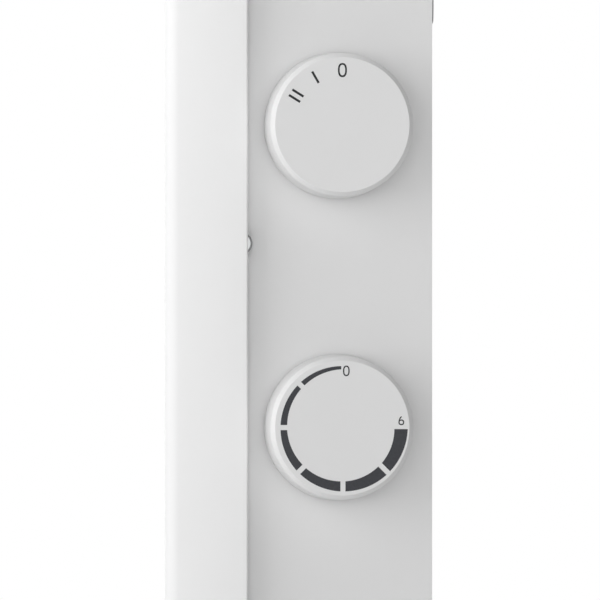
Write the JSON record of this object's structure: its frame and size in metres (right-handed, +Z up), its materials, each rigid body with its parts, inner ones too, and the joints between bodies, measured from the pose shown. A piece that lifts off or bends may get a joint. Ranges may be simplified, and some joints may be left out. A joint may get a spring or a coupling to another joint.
{
  "type": "convector heater",
  "caption": "Wall-hung electric convector heater: flat box with a crowned front panel, outlet grille, side knobs for power and heat, and a hook-on wall bracket.",
  "frame": {"origin": "middle of the wall bracket's four screw holes, in the plane of the wall", "axes": "+Z up, +Y into the wall, -Y towards the room, +X towards the side with the knobs"},
  "size_m": [0.4684, 0.0737, 0.4024],
  "materials": {
    "white_paint": "satin powder coat",
    "bracket_paint": "powder coat",
    "galvanised_sheet": "galvanised sheet",
    "zinc": "bright zinc",
    "sheath_steel": "oxidised steel",
    "fin_aluminium": "extruded",
    "brass": "plain",
    "copper": "plain",
    "ceramic": "matt",
    "knob_plastic": "satin",
    "black_plastic": "matt",
    "pale_plastic": "matt",
    "rubber": "matt",
    "lead_sleeve": "silicone sleeve",
    "earth_sleeve": "silicone sleeve"
  },
  "bodies": {
    "wall_plate": {"wall_bracket": "bracket_paint"},
    "heater": {"front_panel": "white_paint", "outlet_grille": "white_paint", "back_panel": "white_paint", "top_panel": "white_paint", "bottom_panel": "white_paint", "right_side_panel": "white_paint", "left_side_panel": "white_paint", "control_shield": "galvanised_sheet", "side_flanges": "galvanised_sheet", "left_angle": "galvanised_sheet", "panel_brackets": "galvanised_sheet", "air_deflector": "galvanised_sheet", "heat_shield": "galvanised_sheet", "element_bracket": "galvanised_sheet", "side_screws": "zinc", "panel_screws": "zinc", "mode_screws": "zinc", "thermostat_screws": "zinc", "terminal_screws": "brass", "earth_stud": "brass", "lower_element_fins": "fin_aluminium", "upper_element_fins": "fin_aluminium", "lower_element_rod": "sheath_steel", "upper_element_rod": "sheath_steel", "element_bushes": "ceramic", "element_link": "zinc", "overheat_cutout": "black_plastic", "mode_switch_body": "black_plastic", "thermostat_body": "black_plastic", "mode_blades": "brass", "thermostat_blades": "brass", "thermostat_feeler": "copper", "feeler_clip": "black_plastic", "terminal_block": "pale_plastic", "cable_gland": "black_plastic", "gland_nut": "black_plastic", "grommet": "rubber", "wall_pads": "rubber", "lead_thermostat": "lead_sleeve", "lead_half_power": "lead_sleeve", "lead_full_power": "lead_sleeve", "lead_live": "lead_sleeve", "lead_return": "lead_sleeve", "lead_earth": "earth_sleeve"},
    "mode_control": {"mode_knob": "knob_plastic", "mode_shaft": "zinc"},
    "thermostat_control": {"thermostat_knob": "knob_plastic", "thermostat_shaft": "zinc"}
  },
  "joints": [
    {"name": "lift_off", "type": "slide", "parent": "wall_plate", "child": "heater", "axis": [0, 0, 1], "range_m": [0, 0.01]},
    {"name": "mode_turn", "type": "hinge", "parent": "heater", "child": "mode_control", "pos_m": [0.22172, -0.02781, -0.072], "axis": [-0.9954, -0.0958, 0], "range_deg": [0, 60]},
    {"name": "thermostat_turn", "type": "hinge", "parent": "heater", "child": "thermostat_control", "pos_m": [0.22172, -0.02781, -0.1524], "axis": [-0.9954, -0.0958, 0], "range_deg": [0, 270]}
  ]
}
